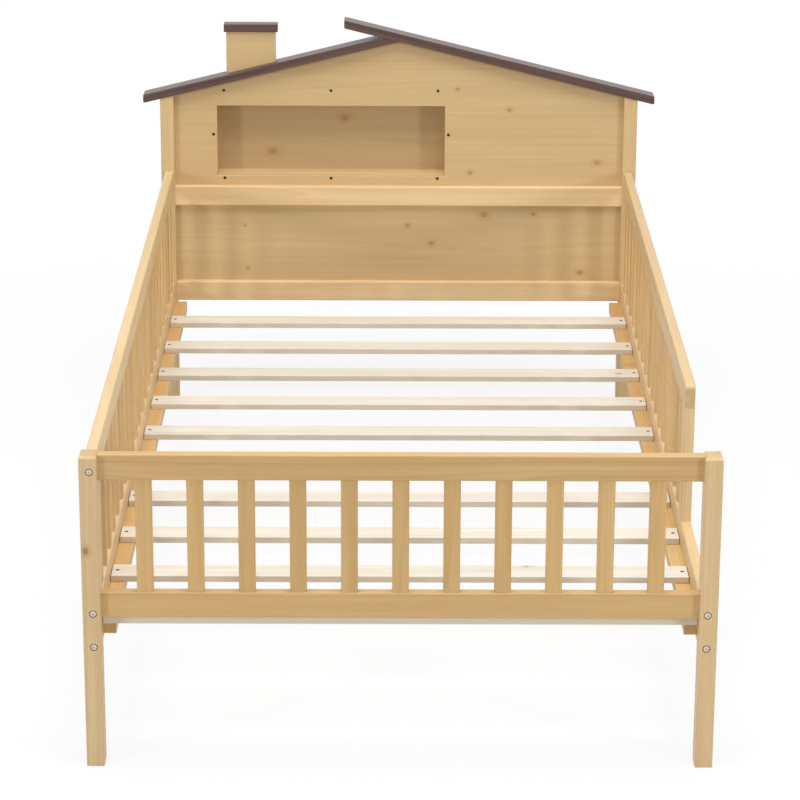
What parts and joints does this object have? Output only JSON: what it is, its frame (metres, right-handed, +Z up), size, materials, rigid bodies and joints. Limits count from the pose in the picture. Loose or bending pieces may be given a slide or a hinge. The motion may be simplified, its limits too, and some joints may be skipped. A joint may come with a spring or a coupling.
{
  "type": "child's bed",
  "caption": "Single bed for a child with a house-shaped headboard, a niche, a chimney, a spindle footboard, two guard rails and a slatted base.",
  "frame": {"origin": "on the floor, below the middle of the box that holds the whole bed", "axes": "+X to the right as seen from the foot, +Y from the foot to the head, +Z up"},
  "size_m": [1.134, 2.033, 0.8933],
  "materials": {
    "natural_pine": "satin clear lacquer",
    "pale_slat_wood": "sanded, bare",
    "dark_stained_wood": "matt brown stain",
    "bolt_steel": "nickel plated",
    "black_screw_steel": "black phosphate",
    "zinc_steel": "zinc plated",
    "beech_dowel": "bare"
  },
  "bodies": {
    "root": {"barrel_nuts": "zinc_steel", "chimney_board": "natural_pine", "chimney_cap": "dark_stained_wood", "chimney_dowels": "beech_dowel", "foot_bolts": "bolt_steel", "foot_bottom_rail": "natural_pine", "foot_post_left": "natural_pine", "foot_post_right": "natural_pine", "foot_spindle_01": "natural_pine", "foot_spindle_02": "natural_pine", "foot_spindle_03": "natural_pine", "foot_spindle_04": "natural_pine", "foot_spindle_05": "natural_pine", "foot_spindle_06": "natural_pine", "foot_spindle_07": "natural_pine", "foot_spindle_08": "natural_pine", "foot_spindle_09": "natural_pine", "foot_spindle_10": "natural_pine", "foot_spindle_11": "natural_pine", "foot_top_rail": "natural_pine", "frame_dowels": "beech_dowel", "guard_end_post": "natural_pine", "guard_spindles_left": "natural_pine", "guard_spindles_right": "natural_pine", "guard_top_rail_left": "natural_pine", "guard_top_rail_right": "natural_pine", "head_bolts": "bolt_steel", "head_bottom_rail": "natural_pine", "head_mid_rail": "natural_pine", "head_post_left": "natural_pine", "head_post_right": "natural_pine", "house_panel": "natural_pine", "ledger_screws": "zinc_steel", "lower_panel": "natural_pine", "niche_back": "natural_pine", "niche_back_screws": "zinc_steel", "niche_bottom_board": "natural_pine", "niche_front_screws": "black_screw_steel", "niche_left_board": "natural_pine", "niche_right_board": "natural_pine", "niche_top_board": "natural_pine", "roof_board_left": "dark_stained_wood", "roof_board_right": "dark_stained_wood", "roof_dowels": "beech_dowel", "side_rail_left": "natural_pine", "side_rail_right": "natural_pine", "slat_01": "pale_slat_wood", "slat_02": "pale_slat_wood", "slat_03": "pale_slat_wood", "slat_04": "pale_slat_wood", "slat_05": "pale_slat_wood", "slat_06": "pale_slat_wood", "slat_07": "pale_slat_wood", "slat_08": "pale_slat_wood", "slat_09": "pale_slat_wood", "slat_10": "pale_slat_wood", "slat_ledger_left": "natural_pine", "slat_ledger_right": "natural_pine", "slat_screws": "black_screw_steel"}
  },
  "joints": []
}
